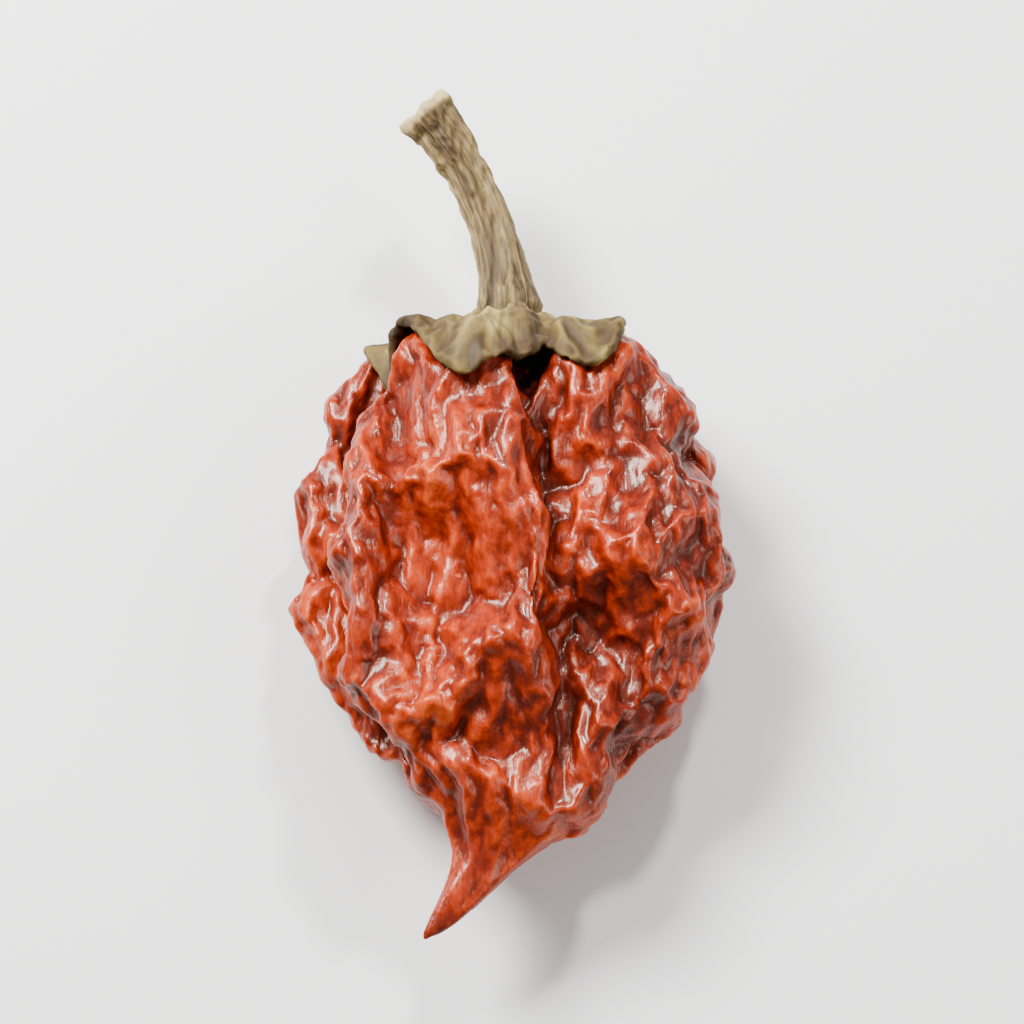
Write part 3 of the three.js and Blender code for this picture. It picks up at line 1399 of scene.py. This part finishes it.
    def keep_growth(self, piece: bpy.types.Object) -> None:
        """Keeps for the finish how each point grew: along which fibre, on a vein, at the cut end; and its
        relief, which the finish turns into painted shade in the folds and painted light on the crests.

        Args:
            piece: the calyx and the stalk.
        """
        points = read_points(piece)
        straight, fanned, calyx = self.grown(points)
        from_axis = np.hypot(straight[:, 0], straight[:, 2])
        from_hub = -fanned[:, 1]
        off_stalk = ramp_over(from_axis, self.hub_radius, self.vein_blend)
        at_end = self.at_end(straight, self.rim_blend)
        inside = ramp_over(from_axis, self.pith_radius, self.pith_blend)
        store_places(piece, "along_stalk", straight)
        store_places(piece, "along_calyx", fanned)
        # Painted shade in the folds and painted light on the crests, from the relief.
        store(piece, "relief_shading", relief(piece, self.crest_rounds, self.crest_height))
        store(piece, "calyx", calyx)
        store(piece, "vein", calyx * off_stalk * self.veins(points))
        store(piece, "tip", ramp_over(from_hub, self.hub, self.tip_blend))
        store(piece, "pith", at_end * inside)
        store(piece, "rim", at_end * (1 - inside))


@dataclass(frozen=True)
class Lamp:
    """A square, soft light that hangs over the floor.

    Attributes:
        name: what it is for.
        place: where it hangs, in metres.
        size: the length of its side, in metres.
        power: its power in watts.
    """

    name: str
    place: Triple
    size: float
    power: float


@dataclass
class Stage:
    """The plain floor, the soft light and the camera."""

    floor_size: float = 2.0
    floor_roughness: float = 0.7
    floor_colour: Tint = (0.82, 0.81, 0.80, 1)
    floor_drop: float = 0.02 * MM
    lamps: tuple[Lamp, ...] = (
        Lamp("key", (-0.10, 0.09, 0.16), 0.08, 0.85),
        Lamp("fill", (0.16, -0.05, 0.14), 0.12, 0.20),
        Lamp("glint", (0.05, 0.14, 0.18), 0.02, 0.3),
    )
    room_colour: Tint = (1.0, 1.0, 1.0, 1.0)
    room_strength: float = 0.28
    look: str = "AgX - Medium High Contrast"
    elevation: float = 70.0
    lens: float = 150.0
    fill: float = 0.9
    sensor: float = 36.0
    nearest: float = 0.01

    def build(self) -> None:
        """Makes the floor, the lights and the camera."""
        bpy.context.scene.view_settings.look = self.look
        self.floor()
        self.lights()
        self.camera()

    def floor(self) -> None:
        """Lays a pale, dull floor."""
        bpy.ops.object.select_all(action="DESELECT")
        bpy.ops.mesh.primitive_plane_add(size=self.floor_size, location=(0, 0, -self.floor_drop))
        floor = bpy.context.object
        floor.name = "floor"
        material, sheet, shader = blank_finish("floor")
        sheet.feed(shader, "Base Color", self.floor_colour)
        sheet.feed(shader, "Roughness", self.floor_roughness)
        floor.data.materials.append(material)
        floor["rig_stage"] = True

    def lights(self) -> None:
        """Hangs a large soft key, a fill and a small light for crisp glints, in a dim pale room."""
        middle = sum(CAD_BOX, Vector()) / 2
        for lamp in self.lamps:
            area = bpy.data.lights.new(lamp.name, "AREA")
            area.size = lamp.size
            area.energy = lamp.power
            light = bpy.data.objects.new(lamp.name, area)
            light.location = lamp.place
            light.rotation_euler = (middle - light.location).to_track_quat("-Z", "Y").to_euler()
            bpy.context.collection.objects.link(light)
        world = bpy.data.worlds.new("room")
        world.use_nodes = True
        sheet = NodeSheet(world.node_tree)
        background = world.node_tree.nodes["Background"]
        sheet.feed(background, "Color", self.room_colour)
        sheet.feed(background, "Strength", self.room_strength)
        bpy.context.scene.world = world

    def camera(self) -> None:
        """Looks down on the pepper, its stem up in the picture."""
        low, high = CAD_BOX
        middle = (low + high) / 2
        rise = math.radians(self.elevation)
        back = Vector((0, -math.cos(rise), math.sin(rise)))
        seen = (high.y - low.y) * math.sin(rise) + (high.z - low.z) * math.cos(rise)
        distance = seen / self.fill * self.lens / self.sensor
        lens = bpy.data.cameras.new("camera")
        lens.lens = self.lens
        lens.sensor_width = self.sensor
        lens.clip_start = self.nearest
        camera = bpy.data.objects.new("camera", lens)
        camera.location = middle + back * distance
        camera.rotation_euler = (-back).to_track_quat("-Z", "Y").to_euler()
        bpy.context.collection.objects.link(camera)
        bpy.context.scene.camera = camera


def main() -> None:
    """Builds and dresses every piece, and reports it."""
    logging.basicConfig(level=logging.INFO, format="%(asctime)s %(name)s: %(message)s")
    Stage().build()
    mottle = mottle_group()
    pod = Pod().build()
    pod.data.materials.append(DriedSkin().make(mottle))
    log.info("%s: %d faces", pod.name, len(pod.data.polygons))
    stem = CalyxAndStem().build(pod)
    stem.data.materials.append(DryStem().make(mottle))
    log.info("%s: %d faces", stem.name, len(stem.data.polygons))


if __name__ == "__main__":
    main()
